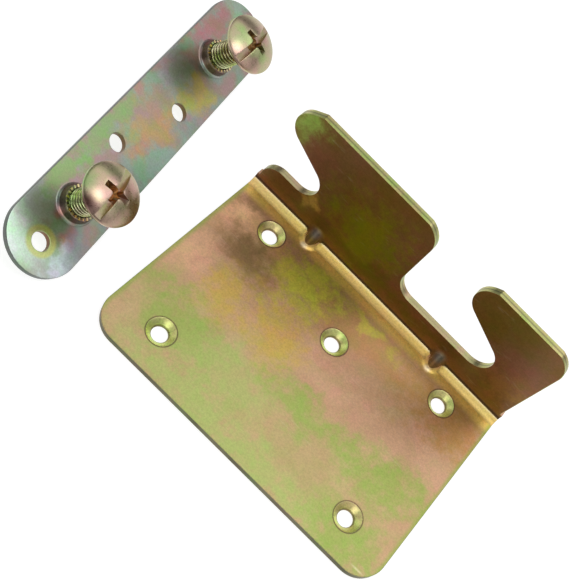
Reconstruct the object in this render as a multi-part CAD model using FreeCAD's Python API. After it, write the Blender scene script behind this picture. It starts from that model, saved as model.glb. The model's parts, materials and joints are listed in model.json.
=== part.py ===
import FreeCAD, Part
import math
import os

# Bed rail fastener, in millimetres. The two halves lie apart, as they do before they are fitted.
# The hook bracket lies on its rail plate with the hooked flange standing up along the back.
# The post plate lies to its left, tipped on one long edge and on the ends of its two screws.
# Origin: middle of the four rail screw holes, on the face of the plate that goes against the rail.
# X runs along the bend, Y from the front edge towards the flange, Z up out of the rail plate.

# Hook bracket: one blank of sheet, folded once.
bracket_sheet = 2.4
bracket_length = 102.0
plate_depth = 69.6           # front edge to the inner face of the flange
front_corner_r = 8.5
bend_inner_r = 3.0
flange_height = 42.0         # rail face to the top edge of the hooks
flange_end_inset = 0.8       # the flange is cut a little shorter than the plate

# Rail screw holes, countersunk on the hook side.
rail_hole_dx = 70.0
rail_hole_dy = 48.0
rail_hole_from_flange = 10.0
fifth_hole_from_flange = 21.3
rail_hole_d = 4.8
rail_sink_d = 8.5
rail_sink_angle = 90.0

# Hooks: slots that open to the left, under fingers that slope down towards the closed end.
screw_pitch = 70.0           # from slot to slot and from screw to screw
ledge_height = 12.7
ledge_corner_r = 5.8
slot_end_r = 5.8
slot_end_reach = 17.4        # left end of the blank to the closed end of the first slot
finger_tip_r = 6.4
first_finger_reach = 16.7    # closed end of the slot to the tip of the finger over it
second_finger_reach = 19.0
first_finger_drop = 7.5      # top edge of the hook down to the middle of the rounded tip
second_finger_drop = 6.3
finger_shoulder_slope = 33.0
hook_corner_r = 7.5
hook_corner_rise = 7.2       # the straight top edge cuts the corner arc below its crown
first_hook_end = 51.7        # left end of the blank to the right edge of the first hook
hook_root_r = 6.2

# Gusset darts pressed across the bend from outside.
dart_left = 24.9             # left end of the blank to the first dart
dart_right = 76.3
dart_leg = 4.8               # how far each dart reaches on to the plate and up the flange
dart_width = 4.4             # along the bend
dart_wall = 1.4
dart_blend_r = 2.4

# Post plate: a strap with round ends.
strap_sheet = 2.0
strap_width = 22.0
strap_length = 118.0
end_hole_pitch = 100.0
middle_hole_along = 12.0
middle_hole_across = 3.4
strap_hole_d = 5.3

# Collars drawn up out of the strap and tapped for the screws.
collar_base_d = 10.6
collar_rim_d = 9.8
collar_height = 3.2
collar_flare = 0.6           # the wall runs out into the strap over this much, each way
screw_clearance = 0.1        # radial, in the collars

# Machine screws with low domed heads and a combined slot and cross recess.
shank_d = 7.8
shank_length = 22.0
shank_end_chamfer = 0.6
head_d = 17.0
head_rim = 0.7
head_dome = 2.7
head_stand_off = 16.0        # strap face to the underside of the head
slot_width = 2.0
slot_depth = 2.4             # below the crown
cross_span = 8.8
cross_wing = 1.8
cross_depth = 3.8            # below the crown
cross_floor_d = 2.2
cross_corner_r = 1.0         # between the wings
front_slot_turn = 97.5       # turn of the slot from the strap's width
rear_slot_turn = 90.0

# Where the post plate lies.
strap_place_x = -80.98
strap_place_y = 16.94
strap_turn = 9.06            # about the upright, from the bracket's front-to-back direction

# Values that follow from the sizes above.
half_length = bracket_length / 2
flange_y = rail_hole_from_flange + rail_hole_dy / 2
front_y = flange_y - plate_depth
back_y = flange_y + bracket_sheet
screw_end_r = shank_d / 2 - shank_end_chamfer
screw_tail = shank_length - head_stand_off - strap_sheet
strap_tilt = math.degrees(math.atan(screw_tail / (strap_width / 2 - screw_end_r)))
collar_bore_d = shank_d + 2 * screw_clearance
dart_rise = dart_leg * math.sqrt(0.5)
dart_r = (dart_width * dart_width / 4 + dart_rise * dart_rise) / (2 * dart_rise)

Vec = FreeCAD.Vector
X_AXIS = Vec(1, 0, 0)
Y_AXIS = Vec(0, 1, 0)
Z_AXIS = Vec(0, 0, 1)


def outline(start, *moves):
    # A closed face from a start point and moves: one point is a line, two a three-point arc.
    edges = []
    here = start
    for move in moves:
        if len(move) == 1:
            edges.append(Part.makeLine(here, move[0]))
        else:
            edges.append(Part.Arc(here, move[0], move[1]).toShape())
        here = move[-1]
    return Part.Face(Part.Wire(edges))


def polar(centre, radius, degrees):
    # A point on a circle in the upright plane of the flange.
    a = math.radians(degrees)
    return Vec(centre.x + radius * math.cos(a), 0, centre.z + radius * math.sin(a))


def folded_blank():
    # The L section with its rounded bend, drawn across the whole length.
    t = bracket_sheet
    r_in = bend_inner_r
    r_out = bend_inner_r + t
    diag = math.sqrt(0.5)
    mid = Vec(-half_length, flange_y - r_in, t + r_in)
    section = outline(
        Vec(-half_length, front_y, 0),
        (Vec(-half_length, flange_y - r_in, 0),),
        (mid + Vec(0, r_out * diag, -r_out * diag), Vec(-half_length, back_y, t + r_in)),
        (Vec(-half_length, back_y, flange_height),),
        (Vec(-half_length, flange_y, flange_height),),
        (Vec(-half_length, flange_y, t + r_in),),
        (mid + Vec(0, r_in * diag, -r_in * diag), Vec(-half_length, flange_y - r_in, t)),
        (Vec(-half_length, front_y, t),),
        (Vec(-half_length, front_y, 0),),
    )
    return section.extrude(Vec(bracket_length, 0, 0))


def plate_outline():
    # The plan of the blank: square at the bend, rounded at the two front corners.
    r = front_corner_r
    k = r * (1 - math.sqrt(0.5))
    w = half_length
    face = outline(
        Vec(-w, back_y, 0),
        (Vec(-w, front_y + r, 0),),
        (Vec(-w + k, front_y + k, 0), Vec(-w + r, front_y, 0)),
        (Vec(w - r, front_y, 0),),
        (Vec(w - k, front_y + k, 0), Vec(w, front_y + r, 0)),
        (Vec(w, back_y, 0),),
        (Vec(-w, back_y, 0),),
    )
    return face.extrude(Vec(0, 0, flange_height))


def hook_top(slot_x, reach, drop, right_x, right_z):
    # From the closed end of one slot round its finger and along the top to the hook's right edge.
    # The finger's underside touches both rounds, so its slope follows from where they lie.
    end = Vec(slot_x, 0, ledge_height + slot_end_r)
    tip = Vec(slot_x + slot_end_r - reach + finger_tip_r, 0, flange_height - drop)
    apart = math.hypot(tip.x - end.x, tip.z - end.z)
    rise_angle = math.degrees(math.atan2(tip.z - end.z, end.x - tip.x))
    finger_slope = rise_angle - math.degrees(math.asin((slot_end_r + finger_tip_r) / apart))
    under = polar(end, slot_end_r, 90 - finger_slope)
    shoulder = polar(tip, finger_tip_r, 90 + finger_shoulder_slope)
    rise = flange_height - shoulder.z
    top_left = Vec(shoulder.x + rise / math.tan(math.radians(finger_shoulder_slope)), 0, flange_height)
    corner = Vec(right_x - hook_corner_r, 0, flange_height - hook_corner_rise)
    crown = math.degrees(math.asin(hook_corner_rise / hook_corner_r))
    return [
        (polar(end, slot_end_r, -finger_slope / 2), under),
        (polar(tip, finger_tip_r, 270 - finger_slope),),
        (polar(tip, finger_tip_r, 180), shoulder),
        (top_left,),
        (polar(corner, hook_corner_r, crown),),
        (polar(corner, hook_corner_r, crown / 2), polar(corner, hook_corner_r, 0)),
        (Vec(right_x, 0, right_z),),
    ]


def flange_outline():
    # The elevation of the flange: ledges, slots, fingers and hooks, left to right, then the bend.
    left = -half_length + flange_end_inset
    right = half_length - flange_end_inset
    slot_1 = -half_length + slot_end_reach - slot_end_r
    slot_2 = slot_1 + screw_pitch
    hook_1 = -half_length + first_hook_end
    bend_top = bracket_sheet + bend_inner_r
    rl = ledge_corner_r
    kl = rl * (1 - math.sqrt(0.5))
    rr = hook_root_r
    kr = rr * (1 - math.sqrt(0.5))
    moves = [
        (Vec(-half_length, 0, bend_top),),
        (Vec(left, 0, bend_top),),
        (Vec(left, 0, ledge_height - rl),),
        (Vec(left + kl, 0, ledge_height - kl), Vec(left + rl, 0, ledge_height)),
        (Vec(slot_1, 0, ledge_height),),
    ]
    moves += hook_top(slot_1, first_finger_reach, first_finger_drop, hook_1, ledge_height + rr)
    moves += [
        (Vec(hook_1 + kr, 0, ledge_height + kr), Vec(hook_1 + rr, 0, ledge_height)),
        (Vec(slot_2, 0, ledge_height),),
    ]
    moves += hook_top(slot_2, second_finger_reach, second_finger_drop, right, bend_top)
    moves += [
        (Vec(half_length, 0, bend_top),),
        (Vec(half_length, 0, 0),),
        (Vec(-half_length, 0, 0),),
    ]
    face = outline(Vec(-half_length, 0, 0), *moves)
    face.translate(Vec(0, front_y, 0))
    return face.extrude(Vec(0, back_y - front_y, 0))


def countersunk_hole(x, y):
    # A wood screw's hole with its cone opening to the hook side.
    depth = (rail_sink_d - rail_hole_d) / 2 / math.tan(math.radians(rail_sink_angle / 2))
    bore = Part.makeCylinder(rail_hole_d / 2, bracket_sheet, Vec(x, y, 0))
    cone = Part.makeCone(rail_hole_d / 2, rail_sink_d / 2, depth, Vec(x, y, bracket_sheet - depth))
    return bore.fuse(cone)


def dart_rib(x, radius):
    # A round rib laid across the inside of the bend at 45 degrees, from the plate to the flange.
    behind = (dart_r - dart_rise) * math.sqrt(0.5)
    middle = Vec(x, flange_y + behind, bracket_sheet - behind)
    slope = Vec(0, 1, 1).normalize()
    reach = slope * (2 * dart_leg)
    return Part.makeCylinder(radius, 2 * reach.Length, middle - reach, slope)


def dart_groove(x):
    # The hollow that the punch leaves under the rib, open to the outside of the bend.
    radius = dart_r - dart_wall
    behind = (dart_r - dart_rise) * math.sqrt(0.5)
    side = Vec(radius, 0, 0)
    start = Vec(x, flange_y + behind, bracket_sheet - behind) - side
    reach = Vec(0, 1, 1).normalize() * (2 * dart_leg)
    past = Vec(0, 1, -1).normalize() * (bend_inner_r + 2 * bracket_sheet)
    face = outline(
        start - reach,
        (start + reach,),
        (start + reach + past,),
        (start - reach + past,),
        (start - reach,),
    )
    return dart_rib(x, radius).fuse(face.extrude(side * 2))


def is_rib(face):
    if not isinstance(face.Surface, Part.Cylinder):
        return False
    axis = face.Surface.Axis
    return abs(axis.y) > 0.1 and abs(axis.z) > 0.1


def soft_darts(shape):
    # A soft run-out where each dart rises from the plate, the bend and the flange.
    slack = dart_blend_r / 4
    ring = []
    for edge in shape.Edges:
        faces = shape.ancestorsOfType(edge, Part.Face)
        on_rib = any(is_rib(face) for face in faces)
        above = edge.BoundBox.ZMin > bracket_sheet - slack
        in_front = edge.BoundBox.YMax < flange_y + slack
        if on_rib and above and in_front:
            ring.append(edge)
    return shape.makeFillet(dart_blend_r, ring)


def hook_bracket():
    body = folded_blank().common(plate_outline()).common(flange_outline())
    darts = [-half_length + dart_left, -half_length + dart_right]
    inner_room = Part.makeBox(
        bracket_length, plate_depth, flange_height - bracket_sheet, Vec(-half_length, front_y, bracket_sheet)
    )
    for x in darts:
        body = body.fuse(dart_rib(x, dart_r).common(inner_room))
    for x in darts:
        body = body.cut(dart_groove(x))
    body = soft_darts(body.removeSplitter())
    for x in (-rail_hole_dx / 2, rail_hole_dx / 2):
        for y in (-rail_hole_dy / 2, rail_hole_dy / 2):
            body = body.cut(countersunk_hole(x, y))
    body = body.cut(countersunk_hole(0, flange_y - fifth_hole_from_flange))
    return body.removeSplitter()


def strap_blank():
    half = strap_length / 2 - strap_width / 2
    r = strap_width / 2
    face = outline(
        Vec(r, -half, 0),
        (Vec(r, half, 0),),
        (Vec(0, half + r, 0), Vec(-r, half, 0)),
        (Vec(-r, -half, 0),),
        (Vec(0, -half - r, 0), Vec(r, -half, 0)),
    )
    return face.extrude(Vec(0, 0, strap_sheet))


def collar(y):
    # A drawn collar: a flared root, a slightly tapering wall and a flat rim, turned about its bore.
    base = collar_base_d / 2
    rim = collar_rim_d / 2
    top = strap_sheet + collar_height
    section = outline(
        Vec(0, 0, 0),
        (Vec(base + collar_flare, 0, 0),),
        (Vec(base + collar_flare, 0, strap_sheet),),
        (Vec(base, 0, strap_sheet + collar_flare),),
        (Vec(rim, 0, top),),
        (Vec(0, 0, top),),
        (Vec(0, 0, 0),),
    )
    solid = section.revolve(Vec(0, 0, 0), Z_AXIS, 360)
    solid.translate(Vec(0, y, 0))
    return solid


def post_plate():
    body = strap_blank()
    for y in (-screw_pitch / 2, screw_pitch / 2):
        body = body.fuse(collar(y))
    for y in (-screw_pitch / 2, screw_pitch / 2):
        body = body.cut(Part.makeCylinder(collar_bore_d / 2, strap_sheet + collar_height, Vec(0, y, 0)))
    places = [(0, -end_hole_pitch / 2), (0, end_hole_pitch / 2)]
    places.append((-middle_hole_across, -middle_hole_along))
    places.append((middle_hole_across, middle_hole_along))
    for x, y in places:
        body = body.cut(Part.makeCylinder(strap_hole_d / 2, strap_sheet, Vec(x, y, 0)))
    return body.removeSplitter()


def recess():
    # The full-width slot and, deeper in the middle, the four tapering wings of the cross with round corners.
    crown = head_rim + head_dome
    slot = Part.makeBox(head_d, slot_width, slot_depth, Vec(-head_d / 2, -slot_width / 2, crown - slot_depth))
    floor_z = crown - cross_depth
    wing_1 = Part.makeBox(cross_span, cross_wing, cross_depth, Vec(-cross_span / 2, -cross_wing / 2, floor_z))
    wing_2 = Part.makeBox(cross_wing, cross_span, cross_depth, Vec(-cross_wing / 2, -cross_span / 2, floor_z))
    wings = wing_1.fuse(wing_2).removeSplitter()
    inner = []
    for edge in wings.Edges:
        spot = edge.CenterOfMass
        upright = edge.BoundBox.ZLength > cross_depth / 2
        if upright and math.hypot(spot.x, spot.y) < cross_wing:
            inner.append(edge)
    taper = Part.makeCone(cross_floor_d / 2, cross_span / 2, cross_depth, Vec(0, 0, floor_z))
    return slot.fuse(wings.makeFillet(cross_corner_r, inner).common(taper))


def machine_screw(turn):
    # Turned about its own axis with the underside of the head at height zero.
    r = shank_d / 2
    head = head_d / 2
    crown = head_rim + head_dome
    ball = (head * head + head_dome * head_dome) / (2 * head_dome)
    half = math.asin(head / ball) / 2
    on_dome = Vec(ball * math.sin(half), 0, crown - ball + ball * math.cos(half))
    section = outline(
        Vec(0, 0, -shank_length),
        (Vec(screw_end_r, 0, -shank_length),),
        (Vec(r, 0, -shank_length + shank_end_chamfer),),
        (Vec(r, 0, 0),),
        (Vec(head, 0, 0),),
        (Vec(head, 0, head_rim),),
        (on_dome, Vec(0, 0, crown)),
        (Vec(0, 0, -shank_length),),
    )
    body = section.revolve(Vec(0, 0, 0), Z_AXIS, 360).cut(recess())
    body.rotate(Vec(0, 0, 0), Z_AXIS, turn)
    return body


def lay_down(shape):
    # Tips the post plate and its screws until the low long edge and the screw ends meet the ground.
    rotation = FreeCAD.Rotation(Z_AXIS, strap_turn) * FreeCAD.Rotation(Y_AXIS, strap_tilt)
    lift = strap_width / 2 * math.sin(math.radians(strap_tilt))
    placed = shape.copy()
    placed.Placement = FreeCAD.Placement(Vec(strap_place_x, strap_place_y, lift), rotation) * shape.Placement
    return placed


def standing_screw(y, turn):
    body = machine_screw(turn)
    body.translate(Vec(0, y, strap_sheet + head_stand_off))
    return lay_down(body)


os.makedirs("parts", exist_ok=True)
nodes = {
    "hook_bracket": hook_bracket(),
    "post_plate": lay_down(post_plate()),
    "front_screw": standing_screw(-screw_pitch / 2, front_slot_turn),
    "rear_screw": standing_screw(screw_pitch / 2, rear_slot_turn),
}
for name, shape in nodes.items():
    shape.exportStep("parts/" + name + ".step")
    print(name, shape.isValid(), len(shape.Solids), "solid,", round(shape.Volume, 1), "cubic mm")
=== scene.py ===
# %% [markdown]
# # A bed rail fastener in yellow chromated steel
# The real object is two loose halves: a folded bracket with hooks for the bed rail, and a strap with two
# machine screws for the bed post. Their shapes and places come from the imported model, so this lesson only
# dresses them: it rounds the sheared edges, cuts the threads, tears the collar rims and grows the finish.

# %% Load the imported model
import json
import math

import bmesh
import bpy
from mathutils import Euler, Matrix, Vector


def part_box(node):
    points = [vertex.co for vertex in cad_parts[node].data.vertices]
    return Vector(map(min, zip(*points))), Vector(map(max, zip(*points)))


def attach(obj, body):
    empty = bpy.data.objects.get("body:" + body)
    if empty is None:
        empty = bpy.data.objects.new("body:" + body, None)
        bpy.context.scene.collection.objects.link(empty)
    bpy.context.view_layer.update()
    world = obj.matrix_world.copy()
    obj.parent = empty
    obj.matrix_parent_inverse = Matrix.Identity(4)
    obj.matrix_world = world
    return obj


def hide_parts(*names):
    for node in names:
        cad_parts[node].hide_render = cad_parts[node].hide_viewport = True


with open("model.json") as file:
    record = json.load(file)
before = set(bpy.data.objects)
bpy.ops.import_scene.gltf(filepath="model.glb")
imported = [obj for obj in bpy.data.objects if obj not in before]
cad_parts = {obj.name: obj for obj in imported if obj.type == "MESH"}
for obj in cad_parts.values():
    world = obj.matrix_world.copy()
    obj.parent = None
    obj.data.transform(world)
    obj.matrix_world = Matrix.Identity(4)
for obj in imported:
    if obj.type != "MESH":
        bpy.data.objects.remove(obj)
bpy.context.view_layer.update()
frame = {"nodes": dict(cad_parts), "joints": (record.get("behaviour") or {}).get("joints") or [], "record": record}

MM = 0.001
nodes = frame["nodes"]

# %% [markdown]
# ## Where the strap lies
# The strap is tipped on one long edge, so it has its own directions: across, along and out of its face.
# They could be typed in, but the joint of a screw already runs square to the strap, and the two hole
# patterns share its centre. Reading them from the record keeps this script true when the strap moves.

# %% The strap's own frame
record = frame["record"]
mounts = {m["name"]: m for m in record["mounts"]}
strap_out = Vector(frame["joints"][0]["axis"]).normalized()
strap_middle = Vector(mounts["post_end_holes"]["pos_m"])
strap_along = Vector((-strap_out.y, strap_out.x, 0)).normalized()
strap_across = strap_along.cross(strap_out).normalized()
strap_turn = math.atan2(strap_across.y, strap_across.x)
strap_tilt = math.asin(-strap_across.z)
to_row = Matrix.Translation(strap_middle) @ Euler((0, strap_tilt, strap_turn)).to_matrix().to_4x4()
to_strap = to_row.inverted()
print("strap turn and tilt, degrees:", round(math.degrees(strap_turn), 2), round(math.degrees(strap_tilt), 2))

# %% [markdown]
# ## Camera
# The photograph looks down on the halves from the front with the picture turned by about 45 degrees.
# A camera could be aimed with a constraint, but a turned picture is plainer to write as three directions:
# right, down and forwards. The lens axis doesn't meet the middle of the picture, so a small shift frames it.

# %% Camera
PICTURE = (569, 583)
LENS_PIXELS = 1009.7
LENS_AXIS_PIXEL = (326.3, 348.4)
SENSOR = 36.0
camera_place = Vector((-7.6, -148.8, 241.7)) * MM
camera_forward = Vector((0.02498, 0.55085, -0.83423)).normalized()
camera_right = Vector((0.70748, 0.57984, 0.40405)).normalized()
camera_down = camera_forward.cross(camera_right).normalized()

camera_data = bpy.data.cameras.new("photo_camera")
camera_data.sensor_fit = "HORIZONTAL"
camera_data.sensor_width = SENSOR
camera_data.lens = LENS_PIXELS * SENSOR / PICTURE[0]
camera_data.shift_x = (PICTURE[0] / 2 - LENS_AXIS_PIXEL[0]) / PICTURE[0]
camera_data.shift_y = (LENS_AXIS_PIXEL[1] - PICTURE[1] / 2) / PICTURE[0]
camera_data.clip_start = 0.01
camera = bpy.data.objects.new("photo_camera", camera_data)
axes = Matrix((camera_right, -camera_down, -camera_forward)).transposed()
camera.matrix_world = Matrix.Translation(camera_place) @ axes.to_4x4()
bpy.context.scene.collection.objects.link(camera)
bpy.context.scene.camera = camera
bpy.context.scene.view_settings.view_transform = "Standard"
shift = (round(camera_data.shift_x, 3), round(camera_data.shift_y, 3))
print("lens:", round(camera_data.lens, 2), "shift:", shift)

# %% [markdown]
# ## Node helper
# Materials here are built node by node. A short helper makes a node, sets its values and links its inputs
# in one line, so that each recipe below reads from top to bottom like the finish it describes.


# %% Node helper
class Recipe:
    """Adds nodes to an emptied tree. Most methods return an output socket, ready to link."""

    def __init__(self, tree):
        self.tree = tree
        tree.nodes.clear()

    def add(self, kind, inputs=None, **settings):
        node = self.tree.nodes.new(kind)
        for key, value in settings.items():
            setattr(node, key, value)
        for key, value in (inputs or {}).items():
            if isinstance(value, bpy.types.NodeSocket):
                self.tree.links.new(value, node.inputs[key])
            else:
                node.inputs[key].default_value = value
        return node

    def maths(self, operation, a, b=0.0, clamp=False):
        node = self.add("ShaderNodeMath", {0: a, 1: b}, operation=operation, use_clamp=clamp)
        return node.outputs[0]

    def vector(self, operation, a, b):
        node = self.add("ShaderNodeVectorMath", {0: a, 1: b}, operation=operation)
        return node.outputs[1 if operation in ("DISTANCE", "LENGTH") else 0]

    def smooth(self, value, low, high, out_low=0.0, out_high=1.0):
        node = self.add(
            "ShaderNodeMapRange",
            {0: value, 1: low, 2: high, 3: out_low, 4: out_high},
            interpolation_type="SMOOTHSTEP",
        )
        return node.outputs[0]

    def blend(self, amount, a, b, how="MIX"):
        node = self.add("ShaderNodeMix", {0: amount, 6: a, 7: b}, data_type="RGBA", blend_type=how)
        return node.outputs[2]

    def noise(self, place, scale, detail=2.0, rough=0.5, twist=0.0):
        return self.add(
            "ShaderNodeTexNoise",
            {"Vector": place, "Scale": scale, "Detail": detail, "Roughness": rough, "Distortion": twist},
        )


def colour(red, green, blue):
    return (red, green, blue, 1.0)


print("helper ready")

# %% [markdown]
# ## Floor and wall
# The halves lie on a white table. A white floor could be made with more light, but that would bleach the
# metal. Instead the floor glows a little for the camera and for mirror-like rays, and the rest is plain
# paint that still takes the shadow. A low white wall stands all round, for the countersinks and edges to
# mirror.

# %% Floor and wall
FLOOR_HALF = 2.0
FLOOR_LEVEL = -0.1 * MM
FLOOR_PAINT = 0.36
FLOOR_GLOW = 0.82
WALL_RADIUS = 1.9
WALL_HEIGHT = 0.5
WALL_STEPS = 48

floor_mesh = bpy.data.meshes.new("floor")
corners = [(-1, -1), (1, -1), (1, 1), (-1, 1)]
floor_spots = [(x * FLOOR_HALF, y * FLOOR_HALF, FLOOR_LEVEL) for x, y in corners]
floor_mesh.from_pydata(floor_spots, [], [(0, 1, 2, 3)])
wall_mesh = bpy.data.meshes.new("wall")
angles = [2 * math.pi * i / WALL_STEPS for i in range(WALL_STEPS)]
ring = [(WALL_RADIUS * math.cos(a), WALL_RADIUS * math.sin(a)) for a in angles]
following = [(i + 1) % WALL_STEPS for i in range(WALL_STEPS)]
wall_mesh.from_pydata(
    [(x, y, 0) for x, y in ring] + [(x, y, WALL_HEIGHT) for x, y in ring],
    [],
    [(j, i, i + WALL_STEPS, j + WALL_STEPS) for i, j in enumerate(following)],
)
for mesh in (floor_mesh, wall_mesh):
    stage_piece = bpy.data.objects.new(mesh.name, mesh)
    bpy.context.scene.collection.objects.link(stage_piece)

floor_paint = bpy.data.materials.new("white_table")
floor_paint.use_nodes = True
recipe = Recipe(floor_paint.node_tree)
path = recipe.add("ShaderNodeLightPath").outputs
seen = recipe.maths("ADD", path["Is Camera Ray"], path["Is Glossy Ray"], clamp=True)
seen = recipe.maths("ADD", seen, path["Is Transmission Ray"], clamp=True)
glow = recipe.maths("MULTIPLY", seen, FLOOR_GLOW)
paint = recipe.add("ShaderNodeBsdfDiffuse", {"Color": colour(FLOOR_PAINT, FLOOR_PAINT, FLOOR_PAINT)})
shine = recipe.add("ShaderNodeEmission", {"Color": colour(1, 1, 1), "Strength": glow})
both = recipe.add("ShaderNodeAddShader", {0: paint.outputs[0], 1: shine.outputs[0]})
recipe.add("ShaderNodeOutputMaterial", {"Surface": both.outputs[0]})
floor_mesh.materials.append(floor_paint)
wall_mesh.materials.append(floor_paint)
print("floor and wall:", len(wall_mesh.polygons), "wall faces")

# %% [markdown]
# ## Lamps
# Bare metal shows what it mirrors, so each soft lamp is placed for a face: one overhead for the plate, one
# low in front for the bend, one behind on the right for the tipped strap, a small bright key for the glint
# on the domes, and one on each side for their flanks. One big lamp would be plainer, but would light all
# faces alike. Nothing hangs round the camera, so the upright flange stays dark.

# %% Lamps
ROOM_LEVEL = 0.15


def soft_lamp(name, place, size, level):
    """A square lamp aimed at the halves. Its level is the brightness that a mirror would show."""
    data = bpy.data.lights.new(name, "AREA")
    data.shape = "SQUARE"
    data.size = size
    data.energy = level * math.pi * size * size
    lamp = bpy.data.objects.new(name, data)
    lamp.location = place
    lamp.rotation_euler = (-Vector(place)).to_track_quat("-Z", "Y").to_euler()
    bpy.context.scene.collection.objects.link(lamp)


soft_lamp("overhead_softbox", (0.0, 0.30, 0.98), 1.24, 1.05)
soft_lamp("front_softbox", (0.0, -1.2, 0.62), 0.8, 1.7)
soft_lamp("back_softbox", (0.70, 1.0, 1.02), 1.05, 0.66)
soft_lamp("key_softbox", (0.44, -0.09, 1.42), 0.58, 3.2)
soft_lamp("right_softbox", (1.25, 0.05, 0.95), 0.75, 0.7)
soft_lamp("left_softbox", (-1.0, -0.1, 0.5), 0.6, 0.8)

world = bpy.data.worlds.new("room")
bpy.context.scene.world = world
world.use_nodes = True
recipe = Recipe(world.node_tree)
path = recipe.add("ShaderNodeLightPath").outputs
level = recipe.maths("MAXIMUM", path["Is Camera Ray"], ROOM_LEVEL)
room = recipe.add("ShaderNodeBackground", {"Color": colour(1, 1, 1), "Strength": level})
recipe.add("ShaderNodeOutputWorld", {"Surface": room.outputs[0]})
print("lamps:", len(bpy.data.lights))

# %% [markdown]
# ## Yellow chromate
# Zinc plate dipped in chromate drains and dries unevenly, so one sheet runs from pink tan through straw
# yellow to green, with brown stains where the bath lay longest. An image could hold that, but noise on
# Object coordinates needs no file and wraps every side. A slow cloud picks the ground tone, soft patches
# add the stains that this piece has, and some patches and bands paint highlights and shade where the
# shape catches or loses the light. A mottle and a fine grain break them up, and thin noise, stretched
# one way, makes the rubbing marks. Noise scales are in cycles per millimetre.

# %% Yellow chromate
DRIFT_SCALE = 0.10
DRIFT_REACH = (22, 22, 22)
SPOT_SCALE = 0.34
TEAR = 0.35
PATCH_EDGE = 1.25
RING_STRENGTH = 0.75
STAIN_SCALE = 0.17
STAIN_RANGE = (0.44, 0.66)
PINKER = colour(1.16, 0.86, 1.12)
GREENER = colour(0.78, 1.10, 0.72)
SPECKLE_SCALE = 1.9
RUB_TURN = (0.3, 0.2, 0.5)
RUB_STRETCH = (0.15, 2.4, 0.6)
RUB_RANGE = (0.62, 0.75)
RUB_STRENGTH = 0.08
RUB_TONE = colour(0.80, 0.74, 0.55)
RIPPLE_SCALE = 0.9
RIPPLE_STRENGTH = 0.12
RIPPLE_HEIGHT = 0.1 * MM


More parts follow.
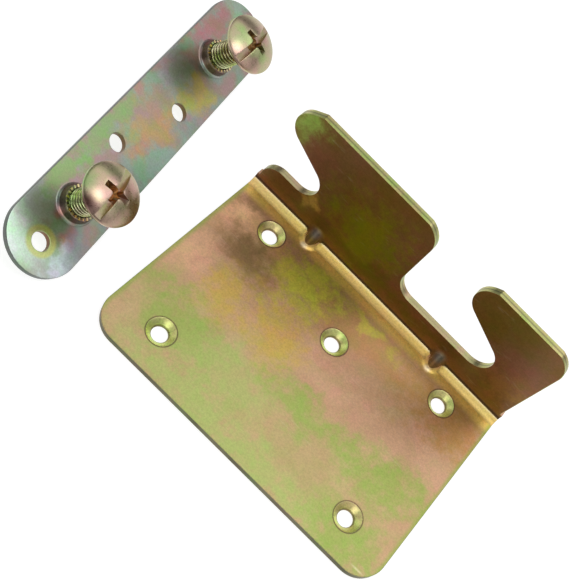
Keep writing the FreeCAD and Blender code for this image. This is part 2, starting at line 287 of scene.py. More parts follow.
def chromate(
    name, ground, patches=(), bands=(), rings=(), turn_to=None,
    roughness=0.34, grain=0.16, cloud=0.05, mottle=0.7, core=0.15,
):
    """A plated finish. Places are in millimetres: the row's own, or the strap's when turn_to is given.

    A patch is (middle, reach, tone, strength) and is torn by noise. A band is the same, but keeps its edge.
    A ring is (middle, radius, width, tone) and lies level, round a hole. Core is the share of a patch that
    has its full tone.
    """
    material = bpy.data.materials.new(name)
    material.use_nodes = True
    recipe = Recipe(material.node_tree)
    place = recipe.add("ShaderNodeTexCoord").outputs["Object"]
    if turn_to is not None:
        location, rotation = turn_to
        mapping = recipe.add("ShaderNodeMapping", {"Vector": place}, vector_type="TEXTURE")
        mapping.inputs["Location"].default_value = location
        mapping.inputs["Rotation"].default_value = rotation
        place = mapping.outputs[0]
    place = recipe.vector("MULTIPLY", place, (1 / MM, 1 / MM, 1 / MM))

    drift = recipe.noise(place, DRIFT_SCALE, detail=5.0, rough=0.6).outputs["Color"]
    drift = recipe.vector("SUBTRACT", drift, (0.5, 0.5, 0.5))
    drift = recipe.vector("MULTIPLY", drift, DRIFT_REACH)
    drifted = recipe.vector("ADD", place, drift)

    slow = recipe.noise(place, cloud, detail=3.0, rough=0.5).outputs["Fac"]
    ramp = recipe.add("ShaderNodeValToRGB", {"Fac": slow})
    ramp.color_ramp.interpolation = "B_SPLINE"
    stops = ramp.color_ramp.elements
    while len(stops) < len(ground):
        stops.new(0.5)
    for stop, (at, tone) in zip(stops, ground):
        stop.position = at
        stop.color = tone
    tint = ramp.outputs["Color"]

    spots = recipe.noise(place, SPOT_SCALE, detail=6.0, rough=0.62).outputs["Color"]
    spots = recipe.add("ShaderNodeSeparateColor", {0: spots}).outputs
    for source, torn in ((patches, True), (bands, False)):
        for middle, reach, tone, strength in source:
            away = recipe.vector("SUBTRACT", drifted if torn else place, middle)
            away = recipe.vector("DIVIDE", away, reach)
            away = recipe.vector("LENGTH", away, (0, 0, 0))
            if torn:
                away = recipe.maths("ADD", away, recipe.smooth(spots[2], 0.2, 0.8, -TEAR, TEAR))
            amount = recipe.smooth(away, core, PATCH_EDGE, strength, 0.0)
            tint = recipe.blend(amount, tint, tone)

    for middle, radius, width, tone in rings:
        away = recipe.vector("MULTIPLY", recipe.vector("SUBTRACT", place, middle), (1, 1, 0))
        away = recipe.maths("SUBTRACT", recipe.vector("LENGTH", away, (0, 0, 0)), radius)
        amount = recipe.smooth(recipe.maths("ABSOLUTE", away), width / 4, width, RING_STRENGTH, 0.0)
        tint = recipe.blend(amount, tint, tone)

    stains = recipe.noise(place, STAIN_SCALE, detail=4.0, rough=0.55).outputs["Color"]
    stains = recipe.add("ShaderNodeSeparateColor", {0: stains}).outputs
    for stain, shift_tone in ((stains[0], PINKER), (stains[1], GREENER)):
        amount = recipe.smooth(stain, *STAIN_RANGE, 0.0, mottle)
        tint = recipe.blend(amount, tint, recipe.blend(1.0, tint, shift_tone, "MULTIPLY"))

    speckle = recipe.noise(place, SPECKLE_SCALE, detail=5.0, rough=0.75).outputs["Fac"]
    shade = recipe.smooth(speckle, 0.3, 0.7, 1 - grain, 1 + grain)
    tint = recipe.blend(1.0, tint, shade, "MULTIPLY")

    rub = recipe.add("ShaderNodeMapping", {"Vector": place, "Rotation": RUB_TURN, "Scale": RUB_STRETCH})
    rub = recipe.noise(rub.outputs[0], 1.0, detail=3.0).outputs["Fac"]
    tint = recipe.blend(recipe.smooth(rub, *RUB_RANGE, 0.0, RUB_STRENGTH), tint, RUB_TONE)

    gloss = recipe.smooth(speckle, 0.25, 0.75, roughness - 0.05, roughness + 0.08)
    ripple = recipe.noise(place, RIPPLE_SCALE, detail=5.0, rough=0.7).outputs["Fac"]
    bump = {"Height": ripple, "Strength": RIPPLE_STRENGTH, "Distance": RIPPLE_HEIGHT}
    bump = recipe.add("ShaderNodeBump", bump).outputs[0]
    metal = {"Base Color": tint, "Roughness": gloss, "Normal": bump, "Metallic": 1.0}
    metal = recipe.add("ShaderNodeBsdfPrincipled", metal)
    recipe.add("ShaderNodeOutputMaterial", {"Surface": metal.outputs[0]})
    return material


print("finish ready: a ground with patches, bands and rings")

# %% [markdown]
# ## Tones
# A chromate film is about a micrometre thick or less, and its thickness decides which colours the zinc
# below sends back. So each tone is the base colour of a bare metal and not of a paint. Each piece could
# have a list of its own, but some tones are shared, so one list serves them all.

# %% Tones
# The plate.
PINK_TAN = colour(0.60, 0.37, 0.235)
ROSE = colour(0.47, 0.285, 0.17)
BRIGHT_ROSE = colour(0.80, 0.46, 0.28)
STRAW = colour(0.56, 0.385, 0.09)
LEAF = colour(0.28, 0.385, 0.08)
PALE_LEAF = colour(0.39, 0.46, 0.15)
OLIVE = colour(0.60, 0.58, 0.075)
BROWN = colour(0.28, 0.17, 0.08)
RUST = colour(0.46, 0.25, 0.07)
SINK_GREEN = colour(0.86, 0.86, 0.34)

# The bend, the flange and the cut edges. The bend's golds and GLINT are a painted highlight, FOOT_DARK,
# DART_DARK and SIDE_DARK are painted shade, and the flange tones are partly painted shade.
AMBER = colour(0.95, 0.64, 0.17)
BEND_GOLD = colour(0.98, 0.70, 0.19)
BEND_PALE = colour(0.98, 0.76, 0.30)
DULL_GOLD = colour(0.56, 0.38, 0.13)
GLINT = colour(1.0, 0.85, 0.50)
PALE = colour(0.80, 0.70, 0.46)
FLANGE_BROWN = colour(0.172, 0.103, 0.019)
FLANGE_ROSE = colour(0.235, 0.112, 0.066)
FLANGE_DARK = colour(0.135, 0.112, 0.012)
FLANGE_OLIVE = colour(0.205, 0.205, 0.010)
FOOT_DARK = colour(0.05, 0.032, 0.016)
DART_DARK = colour(0.13, 0.125, 0.10)
TAN = colour(0.40, 0.33, 0.19)
UMBER = colour(0.11, 0.065, 0.045)
DARK_OLIVE = colour(0.17, 0.17, 0.09)
SIDE_DARK = colour(0.09, 0.08, 0.035)
EDGE_OLIVE = colour(0.34, 0.36, 0.12)
EDGE_STRAW = colour(0.48, 0.47, 0.20)

# The strap, which is bluer. MINT and MIST are partly a painted highlight at its near end, the smoky grey is
# painted shadow beside the collars, and HEM_DARK and SHADOW are painted shade on its sides.
MAUVE = colour(0.36, 0.35, 0.40)
PLUM = colour(0.43, 0.235, 0.22)
DUSK = colour(0.36, 0.27, 0.26)
SAGE = colour(0.29, 0.35, 0.29)
TEAL = colour(0.25, 0.41, 0.30)
FERN = colour(0.34, 0.50, 0.36)
LIME = colour(0.26, 0.40, 0.16)
MINT = colour(0.73, 0.90, 0.79)
MIST = colour(0.64, 0.77, 0.78)
GOLD = colour(0.47, 0.33, 0.14)
OCHRE = colour(0.50, 0.41, 0.11)
STRAW_GOLD = colour(0.66, 0.68, 0.20)
SLATE = colour(0.26, 0.28, 0.29)
SHADOW_GREY = colour(0.38, 0.42, 0.40)
INK = colour(0.13, 0.14, 0.17)
SHADOW = colour(0.16, 0.17, 0.165)
HEM_DARK = colour(0.10, 0.12, 0.105)
COLLAR_DARK = colour(0.16, 0.12, 0.10)
COLLAR_TAN = colour(0.32, 0.26, 0.19)

# The screws.
HEAD_PINK = colour(0.54, 0.40, 0.30)
HEAD_TAN = colour(0.50, 0.40, 0.27)
HEAD_GREEN = colour(0.45, 0.44, 0.25)
DULL_TAN = colour(0.41, 0.305, 0.21)
BLUSH = colour(0.46, 0.34, 0.27)
CREAM = colour(0.74, 0.75, 0.48)
print("tones ready")

# %% [markdown]
# ## Stains and painted light of the bracket
# The bracket is greenest along its front edge and brown near the bend, as if the bath had drained that way.
# Its stains could be painted on an unwrapped sheet, but a place and a reach in millimetres say the same
# in one line each. A reach of FAR makes a band run right across.

# %% Stains and painted light of the bracket
FAR = 400
SINK_RADIUS = 4.3
dart_middles = (-26.1, 25.3)
sink_middles = [(x, y, 0) for x in (-35, 35) for y in (-24, 24)] + [(0, 12.7, 0)]
bracket_ground = [(0.30, ROSE), (0.44, PINK_TAN), (0.56, ROSE), (0.70, PINK_TAN)]
bracket_patches = [
    ((0, 22, 2), (80, 15, 8), RUST, 0.6),
    ((-17, 20, 2), (12, 14, 8), OLIVE, 0.9),
    ((0, 26, 2), (17, 4, 8), OLIVE, 0.6),
    ((40, 23, 2), (18, 12, 8), RUST, 0.6),
    ((-45, 21, 2), (9, 9, 8), BRIGHT_ROSE, 0.7),
    ((-46, 3, 2), (7, 12, 8), BRIGHT_ROSE, 0.5),
    ((-36, 14, 2), (13, 7, 8), BROWN, 0.95),
    ((-42, 28, 2), (12, 4, 8), BROWN, 0.8),
    ((-31, 0, 2), (9, 12, 8), STRAW, 0.85),
    ((-13, 0, 2), (11, 12, 8), STRAW, 0.9),
    ((8, -11, 2), (22, 6, 8), LEAF, 0.85),
    ((38, -9, 2), (18, 10, 8), LEAF, 0.85),
    ((-36, -18, 2), (18, 12, 8), LEAF, 0.85),
    ((-14, -20, 2), (20, 9, 8), PALE_LEAF, 0.7),
    ((0, -33, 2), (64, 7, 8), PALE_LEAF, 0.9),
    ((36, -28, 2), (16, 10, 8), LEAF, 0.8),
    ((18, -22, 2), (12, 8, 8), ROSE, 0.6),
    ((-46, -24, 2), (8, 9, 8), PINK_TAN, 0.6),
    ((10, 10, 2), (14, 8, 8), ROSE, 0.7),
]
bracket_bands = [
    ((0, -22, 2), (75, 22, 8), PALE_LEAF, 0.35),
    # Painted highlight: an amber band on the plate just in front of the bend.
    ((0, 30.6, 2.4), (FAR, 3.0, 1.2), AMBER, 0.9),
    ((-51, 0, 2), (1.6, FAR, 3), LEAF, 0.7),
    ((51, 0, 2), (1.4, FAR, 3), LEAF, 0.7),
    # Painted highlight: pale spots at the feet of the two darts.
    ((-26.4, 29.2, 2.6), (1.6, 1.2, 0.9), PALE, 0.8),
    ((25.0, 29.2, 2.6), (1.6, 1.2, 0.9), PALE, 0.8),
    # Painted highlight: a short pale mark for the dent near the front right corner.
    ((45.5, -33.2, 2.4), (2.4, 0.4, 1), PALE, 0.5),
]
bracket_rings = [(middle, SINK_RADIUS, 0.5, UMBER) for middle in sink_middles]
# Painted shade: each countersink is darker on its -X side.
sink_painted_shade = [((x - 3.3, y, 1.2), (1.9, 3.6, 3), TAN, 0.8) for x, y, _ in sink_middles]
sink_rings = [(middle, 2.4, 0.5, UMBER) for middle in sink_middles]
# Painted light on the bend: the DULL_GOLD bands darken the plate side as painted shade, and the GLINT band is a
# painted highlight along the crease.
bend_highlight_and_shade = [
    ((0, 31.0, 2.4), (FAR, 1.5, 0.8), DULL_GOLD, 0.6),
    ((4, 31.0, 2.4), (32, 2.6, 1.4), DULL_GOLD, 0.8),
    ((0, 33.5, 3.8), (FAR, 0.55, 0.5), GLINT, 1.0),
]
flange_patches = [
    ((-14, 35, 20), (17, 12, 17), FLANGE_OLIVE, 0.95),
    ((-47, 35, 36), (7, 9, 9), LEAF, 1.0),
    ((-33, 35, 14), (4, 8, 6), STRAW, 0.6),
    ((44, 35, 16), (9, 9, 14), RUST, 0.4),
    ((40, 35, 28), (12, 9, 14), FLANGE_ROSE, 0.9),
    ((30, 35, 36), (14, 9, 10), FLANGE_DARK, 0.5),
    ((-40, 35, 24), (9, 9, 10), FLANGE_ROSE, 0.9),
    # Painted shade: darker low on the flange, near the inner corner of the bend.
    ((0, 35, 8), (60, 9, 4), FLANGE_DARK, 0.6),
]
# Painted shade: a dark line along the flange's foot, just above the bend's highlight.
flange_bands = [((0, 33.8, 4.2), (FAR, 0.5, 0.7), FOOT_DARK, 0.9)]
# Painted shade: a dark spot on the flange side of each dart.
flange_bands += [((x, 32.9, 5.8), (1.9, 2.2, 1.9), DART_DARK, 0.8) for x in dart_middles]
edge_bands = [
    ((0, 36.4, 0), (FAR, 1.0, FAR), EDGE_STRAW, 0.9),
    ((0, 35.1, 0), (FAR, 0.35, FAR), DARK_OLIVE, 0.8),
    # Painted highlight: the TAN band lightens the cut edges round the hooks' ledges.
    ((0, 35, 11), (FAR, FAR, 4), TAN, 0.9),
]
print("stains on the plate:", len(bracket_patches), "and on the flange:", len(flange_patches))

# %% [markdown]
# ## Stains and painted light of the strap and screws
# The strap is bluer than the bracket: it runs from mauve and teal to gold, and its pale near end is partly
# a painted highlight. Grey patches beside the collars are painted shadow.
# The places are in the strap's own frame, across, along and out, so they needn't be worked out again when
# the strap moves. A stain on a screw's head lies about 20 mm out.

# %% Stains and painted light of the strap and screws
strap_ground = [(0.28, MAUVE), (0.40, PLUM), (0.50, SAGE), (0.58, TEAL), (0.66, PLUM), (0.76, GOLD)]
strap_patches = [
    # Partly a painted highlight: the pale mint at the strap's near end.
    ((-7, -54, 2), (10, 9, 8), MINT, 1.0),
    ((4, -56, 2), (9, 7, 8), LIME, 0.4),
    ((0, -50, 2), (6, 6, 8), LIME, 0.7),
    # Painted shadow beside the front collar.
    ((-8, -43, 2), (7, 8, 8), SHADOW_GREY, 0.95),
    ((-9, -30, 2), (4, 12, 8), LIME, 0.9),
    ((-10, -10, 2), (4, 16, 8), LIME, 0.8),
    ((1, 2, 2), (9, 14, 8), GOLD, 0.9),
    # Painted shadow beside the rear collar.
    ((-5, 20, 2), (8, 9, 8), SHADOW_GREY, 0.9),
    ((4, 21, 2), (7, 9, 8), OCHRE, 0.85),
    ((-6, 23, 2), (6, 8, 8), INK, 0.18),
    ((-3, 8, 2), (5, 8, 8), DUSK, 0.6),
    ((-6, 53, 2), (9, 7, 8), FERN, 0.9),
    ((-8, 43, 2), (7, 10, 8), PLUM, 1.0),
    ((8, -25, 2), (5, 9, 8), SLATE, 0.8),
    ((8, -51, 2), (5, 7, 8), MIST, 0.8),
    ((10, -8, 2), (4, 14, 8), TEAL, 0.9),
    ((9, 12, 2), (4, 8, 8), SLATE, 0.6),
    ((9, -44, 2), (5, 9, 8), SLATE, 0.8),
]
# Partly a painted highlight: pale mint and mist bands at the strap's near end.
strap_bands = [((-7, -55, 2), (11, 9, 8), MINT, 0.75), ((6, -55, 2), (8, 8, 8), MIST, 0.3)]
strap_rings = [((0, -50, 0), 3.5, 1.4, STRAW_GOLD), ((0, 50, 0), 3.4, 1.2, STRAW_GOLD)]
screw_ground = [(0.30, HEAD_PINK), (0.50, HEAD_TAN), (0.68, HEAD_GREEN)]
screw_bands = [
    ((-7.2, -38.5, 19.5), (3.0, 3.6, 4), LIME, 0.85),
    # Painted reflection: a dark patch on the front head's lower left rim.
    ((-3.6, -42.2, 18.8), (3.2, 2.6, 3), UMBER, 0.95),
    ((5, -31, 20), (6, 6, 5), DULL_TAN, 0.6),
    ((-5, 32, 20), (4, 4, 5), LIME, 0.5),
    ((4, 40, 20), (6, 5, 5), DULL_TAN, 0.7),
]
print("stains on the strap:", len(strap_patches), "and on the heads:", len(screw_bands))

# %% [markdown]
# ## Finishes
# A cut edge, a countersink and a thread took the bath differently from the broad faces, so each kind of
# face has a finish of its own. Some finishes also paint light: the bend's gold is a painted highlight, the
# flange's darker tones are partly painted shade, and the cut sides, the cross, the slot's shaded wall and
# the thread's grooves are darkened as painted shade. One finish with masks could do it all, but separate
# ones can be tuned alone.


# %% Finishes
def two_tone(first, second):
    """The ground of a small face: a cloud between two tones."""
    return [(0.36, first), (0.64, second)]


on_strap = (tuple(strap_middle), (0, strap_tilt, strap_turn))
bracket_finish = chromate(
    "bracket_chromate", bracket_ground, bracket_patches, bracket_bands, bracket_rings,
    roughness=0.45, mottle=0.3, grain=0.15,
)
# The flange is darker than the plate: partly its own brown stain, partly painted shade on the upright face.
flange_finish_and_shade = chromate(
    "flange_chromate_and_shade", two_tone(FLANGE_BROWN, FLANGE_ROSE), flange_patches, flange_bands,
    roughness=0.45, mottle=0.4,
)
# The bend's bright golds are a painted highlight on its rounded face.
bend_highlight_finish = chromate(
    "bend_chromate_and_highlight", two_tone(BEND_GOLD, BEND_PALE), bands=bend_highlight_and_shade, roughness=0.55, mottle=0.2
)
# Painted shade: the plate's cut sides are given dark tones for their dark outline.
side_shade_finish = chromate("cut_side_chromate_and_shade", two_tone(SIDE_DARK, DARK_OLIVE), roughness=0.4, cloud=0.15)
# Painted shade: the strap's cut sides are given dark tones for their dark outline.
hem_shade_finish = chromate("strap_side_chromate_and_shade", two_tone(HEM_DARK, SHADOW), turn_to=on_strap, roughness=0.4)
edge_finish = chromate(
    "sheared_edge_chromate", two_tone(EDGE_OLIVE, EDGE_STRAW), bands=edge_bands, cloud=0.15, roughness=0.32
)
sink_finish = chromate(
    "countersink_chromate", two_tone(SINK_GREEN, SINK_GREEN), bands=sink_painted_shade, rings=sink_rings,
    roughness=0.42,
)
strap_finish = chromate(
    "strap_chromate", strap_ground, strap_patches, strap_bands, strap_rings, on_strap,
    cloud=0.085, mottle=0.6, grain=0.12, core=0.25,
)
bore_finish = chromate("bore_chromate", two_tone(UMBER, BROWN), roughness=0.45)
collar_finish = chromate(
    "collar_chromate", two_tone(COLLAR_DARK, COLLAR_TAN), turn_to=on_strap, roughness=0.3
)
rim_ground = [(0.38, AMBER), (0.52, PALE), (0.66, LIME)]
rim_finish = chromate(
    "torn_rim_chromate", rim_ground, turn_to=on_strap, cloud=0.9, grain=0.25, roughness=0.3
)
screw_finish = chromate(
    "screw_chromate", screw_ground, bands=screw_bands, turn_to=on_strap,
    cloud=0.13, roughness=0.3, grain=0.08,
)
slot_finish = chromate("slot_chromate", two_tone(BLUSH, TAN), cloud=0.3, roughness=0.35)
recess_shade_finish = chromate("recess_chromate_and_shade", two_tone(BROWN, RUST), cloud=0.3, roughness=0.3)
groove_shade_finish = chromate("groove_chromate_and_shade", two_tone(UMBER, DARK_OLIVE), cloud=0.3, roughness=0.35)
thread_finish = chromate("thread_chromate", two_tone(LEAF, CREAM), cloud=0.2, roughness=0.25)
print("finishes:", [m.name for m in bpy.data.materials])

# %% [markdown]
# ## Sheared sheet
# A punched blank never has a knife edge: the die rolls one side and the tumbling of the plating barrel
# dulls the other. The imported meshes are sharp, and they are never changed, so each is copied, welded and
# given a narrow bevel. Weighted normals keep the broad faces flat between the rounded edges.

# %% Rounded copies
WELD = 1e-6
FLAT = math.radians(0.4)
SHARP = math.radians(32)


def welded_copy(node_name):
    """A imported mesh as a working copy, with its doubled corners merged."""
    body = bmesh.new()
    body.from_mesh(nodes[node_name].data)
    bmesh.ops.remove_doubles(body, verts=body.verts, dist=WELD)
    return body


def rounded_piece(name, body, width, materials, segments=2):
    """Bevels a welded mesh on its sharp edges and returns it as a plain object at the origin."""
    bmesh.ops.dissolve_limit(body, angle_limit=FLAT, verts=body.verts, edges=body.edges)
    mesh = bpy.data.meshes.new(name + "_sharp")
    body.to_mesh(mesh)
    body.free()
    sharp = bpy.data.objects.new(name + "_sharp", mesh)
    bpy.context.scene.collection.objects.link(sharp)
    bevel = sharp.modifiers.new("edge", "BEVEL")
    bevel.width = width
    bevel.segments = segments
    bevel.limit_method = "ANGLE"
    bevel.angle_limit = SHARP
    bevel.miter_outer = "MITER_ARC"
    normals = sharp.modifiers.new("normals", "WEIGHTED_NORMAL")
    normals.keep_sharp = True
    mesh.shade_smooth()
    evaluated = sharp.evaluated_get(bpy.context.evaluated_depsgraph_get())
    plain = bpy.data.meshes.new_from_object(evaluated)
    plain.name = name
    bpy.data.objects.remove(sharp)
    piece = bpy.data.objects.new(name, plain)
    plain.materials.clear()
    for material in materials:
        plain.materials.append(material)
    bpy.context.scene.collection.objects.link(piece)
    return piece


print("a sharp edge turns by more than", round(math.degrees(SHARP)), "degrees")

# %% [markdown]
# ## Bracket
# On the real bracket the flange, the bend, the countersinks and the sheared edges all caught the bath and
# the light differently. The faces could be picked by hand, but their place and their direction already say
# which kind they are. The places are in millimetres, PLATE_TOP a little below the plate's upper face, and
# the directions are shares of a face's normal.

# %% Bracket
SHEET_EDGE = 0.25 * MM
SHEET, EDGE, SINK, BEND, SIDE, BORE, FLANGE = range(7)
PLATE_TOP = 2.3
BEND_TOP = 3.9
BEND_FRONT, BEND_BACK = 30.9, 33.6
HOOK_FOOT = 9
END_STRIP = 1.5
SINK_RIM = 0.2
DART_HALF = 2.6
bracket_finishes = [
    bracket_finish, edge_finish, sink_finish, bend_highlight_finish, side_shade_finish, bore_finish, flange_finish_and_shade
]
bracket = rounded_piece("bracket", welded_copy("hook_bracket"), SHEET_EDGE, bracket_finishes)

low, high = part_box("hook_bracket")
for face in bracket.data.polygons:
    x, y, z = face.center / MM
    normal = face.normal
    at_ends = min(high.x / MM - x, x - low.x / MM) < END_STRIP
    around_hooks = z > HOOK_FOOT and abs(normal.y) < 0.6
    # Painted highlight: the bevels at the flange's two ends take the lighter edge finish.
    hook_end_highlight = at_ends and z > HOOK_FOOT and abs(normal.y) < 0.95
    hole_distance = min(math.hypot(x - hole[0], y - hole[1]) for hole in sink_middles)
    near_hole = hole_distance < SINK_RADIUS + SINK_RIM
    near_dart = min(abs(x - dart) for dart in dart_middles) < DART_HALF
    in_bend = BEND_FRONT < y < BEND_BACK and PLATE_TOP < z < BEND_TOP
    if around_hooks or hook_end_highlight:
        face.material_index = EDGE
    elif at_ends and z > PLATE_TOP and abs(normal.x) > 0.5:
        face.material_index = SIDE
    elif near_hole and 0.2 < normal.z < 0.9:
        face.material_index = SINK
    elif in_bend and normal.y < -0.05 and not near_dart:
        face.material_index = BEND
    elif z > BEND_TOP and normal.y < -0.3:
        face.material_index = FLANGE
    elif z < PLATE_TOP and abs(normal.z) < 0.3:
        face.material_index = BORE if near_hole else SIDE
    else:
        face.material_index = SHEET
print("bracket faces:", len(bracket.data.polygons))

# %% [markdown]
# ## Strap
# The strap is a sheared blank as well, with its two collars drawn up out of it. Its faces are told apart in
# its own frame: high ones belong to a collar, upright ones inside the border to a bore, and the rest of
# the upright ones to the outer side.

# %% Strap
STRAP_EDGE = 0.2 * MM
STRAP_SHEET = 2.0 * MM
COLLAR_FLARE = 0.6 * MM
STRAP_SPINE = 48 * MM
STRAP_BORDER = 10 * MM
STRAP_FACE, COLLAR, STRAP_BORE, HEM = range(4)
strap_finishes = [strap_finish, collar_finish, bore_finish, hem_shade_finish]
strap = rounded_piece("strap", welded_copy("post_plate"), STRAP_EDGE, strap_finishes)
rim_height = max((to_strap @ v.co).z for v in strap.data.vertices)
for face in strap.data.polygons:
    spot = to_strap @ face.center
    facing = abs(face.normal.dot(strap_out))
    off_spine = math.hypot(spot.x, max(abs(spot.y) - STRAP_SPINE, 0))
    if spot.z > STRAP_SHEET + COLLAR_FLARE * 0.9:
        face.material_index = COLLAR
    elif off_spine < STRAP_BORDER and facing < 0.3:
        face.material_index = STRAP_BORE
    elif off_spine > STRAP_BORDER and facing < 0.8:
        face.material_index = HEM
    else:
        face.material_index = STRAP_FACE
print("strap faces:", len(strap.data.polygons), "rim height:", round(rim_height / MM, 2))

# %% [markdown]
# ## Growing a mesh
# What repeats on this object is grown by Geometry Nodes. The trees could stay live as modifiers, but each
# piece has to be one plain mesh that rides on a body, so a tree is run once and its result is kept.


# %% Growing a mesh
def new_tree(name, sockets):
    """An empty Geometry Nodes tree with the named inputs and one geometry output."""
    tree = bpy.data.node_groups.new(name, "GeometryNodeTree")
    for label, kind in sockets.items():
        tree.interface.new_socket(label, in_out="INPUT", socket_type="NodeSocket" + kind)
    tree.interface.new_socket("Geometry", in_out="OUTPUT", socket_type="NodeSocketGeometry")
    return tree


def grow(tree, values):
    """Runs a tree on an empty object, with its inputs set first, and returns the plain mesh."""
    holder = bpy.data.objects.new(tree.name, bpy.data.meshes.new(tree.name))
    bpy.context.scene.collection.objects.link(holder)
    modifier = holder.modifiers.new("grow", "NODES")
    modifier.node_group = tree
    for item in tree.interface.items_tree:
        if item.in_out == "INPUT":
            modifier[item.identifier] = values[item.name]
    evaluated = holder.evaluated_get(bpy.context.evaluated_depsgraph_get())
    mesh = bpy.data.meshes.new_from_object(evaluated)
    bpy.data.objects.remove(holder)
    return mesh


print("grower ready")

# %% [markdown]
# ## Torn collars
# A collar is made by pushing a punch through a small hole until the sheet stretches up round it, so its
# rim ends in a ring of little tears. They could be cut out one by one, but they repeat, so Geometry Nodes
# set a short tooth on each point of a circle, with its size and turn varied by a fixed seed. The strap
# keeps its plain collars, and each ring of teeth stands on a rim.

# %% Torn rims
RIM_RADIUS = 4.5 * MM
RIM_TEETH = 24
TOOTH = (0.8 * MM, 0.66 * MM, 0.62 * MM)
TOOTH_SINK = 0.13 * MM
TOOTH_TWIST = 0.25
TOOTH_LEAST = (0.75, 0.6, 0.5)
TOOTH_MOST = (1.05, 1.15, 1.25)
TWIST_SEED = 3
SIZE_SEED = 11
HAIR = 0.01 * MM


def screw_foot(node_name):
    """The middle of a screw's end face, in the strap's own frame."""
    spots = [to_strap @ v.co for v in nodes[node_name].data.vertices]
    lowest = min(s.z for s in spots)
    end = [s for s in spots if s.z < lowest + HAIR]
    middle = [(max(s[i] for s in end) + min(s[i] for s in end)) / 2 for i in range(2)]
    return Vector((*middle, lowest))


def rim_tree():
    """A ring of blocks, each turned outwards and varied in turn and size."""
    tree = new_tree("torn_rim", {"Radius": "Float", "Teeth": "Int", "Tooth": "Vector", "Finish": "Material"})
    recipe = Recipe(tree)
    size = recipe.add("NodeGroupInput").outputs
    circle = recipe.add("GeometryNodeMeshCircle", {"Vertices": size["Teeth"], "Radius": size["Radius"]})
    tooth = recipe.add("GeometryNodeMeshCube", {"Size": size["Tooth"]})
    place = recipe.add("GeometryNodeInputPosition").outputs[0]
    facing = recipe.add("FunctionNodeAlignEulerToVector", {"Vector": place}, axis="X", pivot_axis="Z")
    twist = recipe.add("FunctionNodeRandomValue", {2: -TOOTH_TWIST, 3: TOOTH_TWIST, "Seed": TWIST_SEED})
    turned = recipe.add("ShaderNodeCombineXYZ", {2: twist.outputs[1]})
    turned = recipe.vector("ADD", facing.outputs[0], turned.outputs[0])
    share = recipe.add("FunctionNodeRandomValue", {"Seed": SIZE_SEED}, data_type="FLOAT_VECTOR")
    share.inputs[0].default_value = TOOTH_LEAST
    share.inputs[1].default_value = TOOTH_MOST
    placed = {"Points": circle.outputs[0], "Instance": tooth.outputs[0]}
    placed |= {"Rotation": turned, "Scale": share.outputs[0]}
    ring = recipe.add("GeometryNodeInstanceOnPoints", placed)
    real = recipe.add("GeometryNodeRealizeInstances", {0: ring.outputs[0]})
    painted = recipe.add("GeometryNodeSetMaterial", {"Geometry": real.outputs[0], "Material": size["Finish"]})
    recipe.add("NodeGroupOutput", {0: painted.outputs[0]})
    return tree


def add_rims(piece):
    """Joins a ring of teeth to each collar of the strap."""
    teeth = grow(rim_tree(), {"Radius": RIM_RADIUS, "Teeth": RIM_TEETH, "Tooth": TOOTH, "Finish": rim_finish})
    slot = len(piece.data.materials)
    piece.data.materials.append(rim_finish)
    joined = bmesh.new()
    joined.from_mesh(piece.data)
    for foot in screw_feet.values():
        ring = teeth.copy()
        ring.transform(to_row @ Matrix.Translation((foot.x, foot.y, rim_height - TOOTH_SINK)))
        start = len(joined.faces)
        joined.from_mesh(ring)
        joined.faces.ensure_lookup_table()
        for face in joined.faces[start:]:
            face.material_index = slot
    joined.to_mesh(piece.data)
    joined.free()


screw_feet = {name: screw_foot(name) for name in ("front_screw", "rear_screw")}
add_rims(strap)
print("strap faces with teeth:", len(strap.data.polygons))

# %% [markdown]
# ## Screw threads
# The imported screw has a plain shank. A thread could be swept along a spiral, but the joints between turns
# then need care. Here Geometry Nodes start from a finely divided tube and move each point in or out by
# where it lies on the helix: one turn round must equal one pitch up. The result is one closed skin.

# %% Thread tree
SHANK_RADIUS = 3.9 * MM
SHANK_LENGTH = 22.0 * MM
NECK = 1.2 * MM
ROD_LENGTH = SHANK_LENGTH - NECK + 0.3 * MM
PITCH = 1.25 * MM
THREAD_DEPTH = 0.7 * MM
END_CHAMFER = 0.6 * MM
THREAD_SIDES = 72
THREAD_STEPS = 200
THREAD_FLANK = (0.10, 0.42)


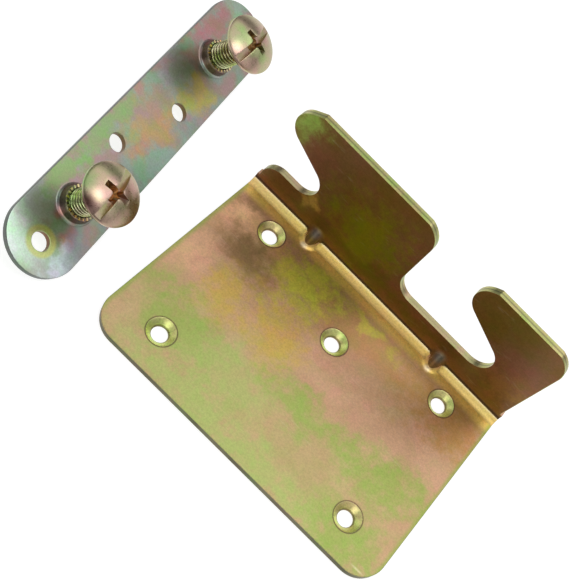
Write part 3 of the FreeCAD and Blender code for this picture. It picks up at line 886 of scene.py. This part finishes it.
def thread_tree():
    """A tube whose points are drawn in along a helix, with a tapered end."""
    sockets = {"Radius": "Float", "Length": "Float", "Pitch": "Float", "Depth": "Float", "Chamfer": "Float"}
    tree = new_tree("threaded_shank", {**sockets, "Finish": "Material"})
    recipe = Recipe(tree)
    size = recipe.add("NodeGroupInput").outputs
    tube = recipe.add(
        "GeometryNodeMeshCylinder",
        {
            "Vertices": THREAD_SIDES,
            "Side Segments": THREAD_STEPS,
            "Radius": size["Radius"],
            "Depth": size["Length"],
        },
    )
    place = recipe.add("GeometryNodeInputPosition").outputs[0]
    x, y, z = recipe.add("ShaderNodeSeparateXYZ", {0: place}).outputs
    round_share = recipe.maths("DIVIDE", recipe.maths("ARCTAN2", y, x), 2 * math.pi)
    turns = recipe.maths("SUBTRACT", recipe.maths("DIVIDE", z, size["Pitch"]), round_share)
    wave = recipe.maths("PINGPONG", turns, 0.5)
    flank = {0: wave, 1: THREAD_FLANK[0], 2: THREAD_FLANK[1], 3: 1.0, 4: 0.0}
    dip = recipe.add("ShaderNodeMapRange", flank).outputs[0]
    groove = recipe.maths("SUBTRACT", size["Radius"], recipe.maths("MULTIPLY", dip, size["Depth"]))
    from_end = recipe.maths("ADD", z, recipe.maths("MULTIPLY", size["Length"], 0.5))
    cut = recipe.maths("MAXIMUM", recipe.maths("SUBTRACT", size["Chamfer"], from_end), 0.0)
    radius = recipe.maths("MINIMUM", groove, recipe.maths("SUBTRACT", size["Radius"], cut))
    share = recipe.maths("DIVIDE", radius, size["Radius"])
    squeezed = recipe.add(
        "ShaderNodeCombineXYZ",
        {0: recipe.maths("MULTIPLY", x, share), 1: recipe.maths("MULTIPLY", y, share), 2: z},
    )
    moved = {"Geometry": tube.outputs["Mesh"], "Position": squeezed.outputs[0]}
    moved = recipe.add("GeometryNodeSetPosition", moved)
    real = recipe.add("GeometryNodeRealizeInstances", {0: moved.outputs[0]})
    painted = recipe.add("GeometryNodeSetMaterial", {"Geometry": real.outputs[0], "Material": size["Finish"]})
    recipe.add("NodeGroupOutput", {0: painted.outputs[0]})
    return tree


thread_sizes = {"Radius": SHANK_RADIUS, "Length": ROD_LENGTH, "Pitch": PITCH, "Depth": THREAD_DEPTH}
shank_mesh = grow(thread_tree(), {**thread_sizes, "Chamfer": END_CHAMFER, "Finish": thread_finish})
print("shank faces:", len(shank_mesh.polygons))

# %% [markdown]
# ## Screw heads
# The dome, the slot and the cross are already right in the imported screw. Its plain shank is cut away from
# a copy just below the neck, the cut is closed, and the edges are rounded as on the sheet. The threaded
# shank then goes in below. The cross and the slot's shaded wall get a dark finish that is painted shade, the
# slot's floor gets a finish of its own, and the thread's grooves get a darker finish, also painted shade.

# %% Screws
HEAD_EDGE = 0.18 * MM
SLOT_DEPTH = 2.4 * MM
SLOT_FLOOR_BAND = 0.15 * MM
CROSS_REACH = 3.6 * MM
CROSS_BELOW_HEAD = 0.7 * MM
CROSS_TOP = 1.1 * SLOT_DEPTH
GROOVE_RADIUS = SHANK_RADIUS - 0.45 * THREAD_DEPTH
CUT_HAIR = 1e-7
COLLAPSED = 0.002 * MM
HEAD, RECESS, THREAD, SLOT_FLOOR, GROOVE = range(5)
screw_finishes = [screw_finish, recess_shade_finish, thread_finish, slot_finish, groove_shade_finish]


def bare_head(node_name, foot):
    """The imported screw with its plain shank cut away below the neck, closed underneath."""
    body = welded_copy(node_name)
    cut = to_row @ (foot + Vector((0, 0, SHANK_LENGTH - NECK)))
    everything = [*body.verts, *body.edges, *body.faces]
    bmesh.ops.bisect_plane(
        body, geom=everything, dist=CUT_HAIR, plane_co=cut, plane_no=strap_out, clear_inner=True
    )
    bmesh.ops.holes_fill(body, edges=[e for e in body.edges if e.is_boundary])
    bmesh.ops.recalc_face_normals(body, faces=body.faces)
    return body


def paint_head(piece, foot, crown):
    """Gives the cross and the slot's shaded wall a dark finish that is painted shade, and the slot's floor its own
    finish.
    """
    for face in piece.data.polygons:
        spot = to_strap @ face.center
        facing = face.normal.dot(strap_out)
        in_cross = math.hypot(spot.x - foot.x, spot.y - foot.y) < CROSS_REACH
        deep = foot.z + SHANK_LENGTH - CROSS_BELOW_HEAD < spot.z < crown - CROSS_TOP
        at_floor = abs(spot.z - crown + SLOT_DEPTH) < SLOT_FLOOR_BAND and facing > 0.9
        upright = spot.z > crown - SLOT_DEPTH and abs(facing) < 0.4
        shaded_wall = upright and face.normal.dot(strap_across) < -0.5
        # Painted shade: the deep cross and the slot's one wall that faces away take the dark recess finish.
        if (in_cross and deep) or shaded_wall:
            face.material_index = RECESS
        else:
            face.material_index = SLOT_FLOOR if at_floor else HEAD


def screw_piece(node_name):
    """A rounded head and a threaded shank, joined in one mesh."""
    foot = screw_feet[node_name]
    crown = max((to_strap @ v.co).z for v in nodes[node_name].data.vertices)
    name = node_name + "_threaded"
    piece = rounded_piece(name, bare_head(node_name, foot), HEAD_EDGE, screw_finishes)
    paint_head(piece, foot, crown)
    rod = shank_mesh.copy()
    rod.transform(to_row @ Matrix.Translation(foot + Vector((0, 0, ROD_LENGTH / 2))))
    joined = bmesh.new()
    joined.from_mesh(piece.data)
    bmesh.ops.dissolve_degenerate(joined, dist=COLLAPSED, edges=joined.edges)
    start = len(joined.faces)
    joined.from_mesh(rod)
    joined.faces.ensure_lookup_table()
    for face in joined.faces[start:]:
        spot = to_strap @ face.calc_center_median()
        off_axis = math.hypot(spot.x - foot.x, spot.y - foot.y)
        # Painted shade: faces down in the thread's grooves take the darker groove finish.
        face.material_index = GROOVE if off_axis < GROOVE_RADIUS else THREAD
        face.smooth = True
    joined.to_mesh(piece.data)
    joined.free()
    print(name, "faces:", len(piece.data.polygons))
    return piece


screws = {name: screw_piece(name) for name in screw_feet}

# %% [markdown]
# ## Ride and finish
# Every new piece stands for one imported node and rides on that node's body, so the screws travel in the
# strap as the joints say.

# %% Ride and finish
for piece, node_name, body, slot in (
    (bracket, "hook_bracket", "halves", "bracket"),
    (strap, "post_plate", "halves", "strap"),
    (screws["front_screw"], "front_screw", "front_screw", "screw"),
    (screws["rear_screw"], "rear_screw", "rear_screw", "screw"),
):
    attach(piece, body)
    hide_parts(node_name)
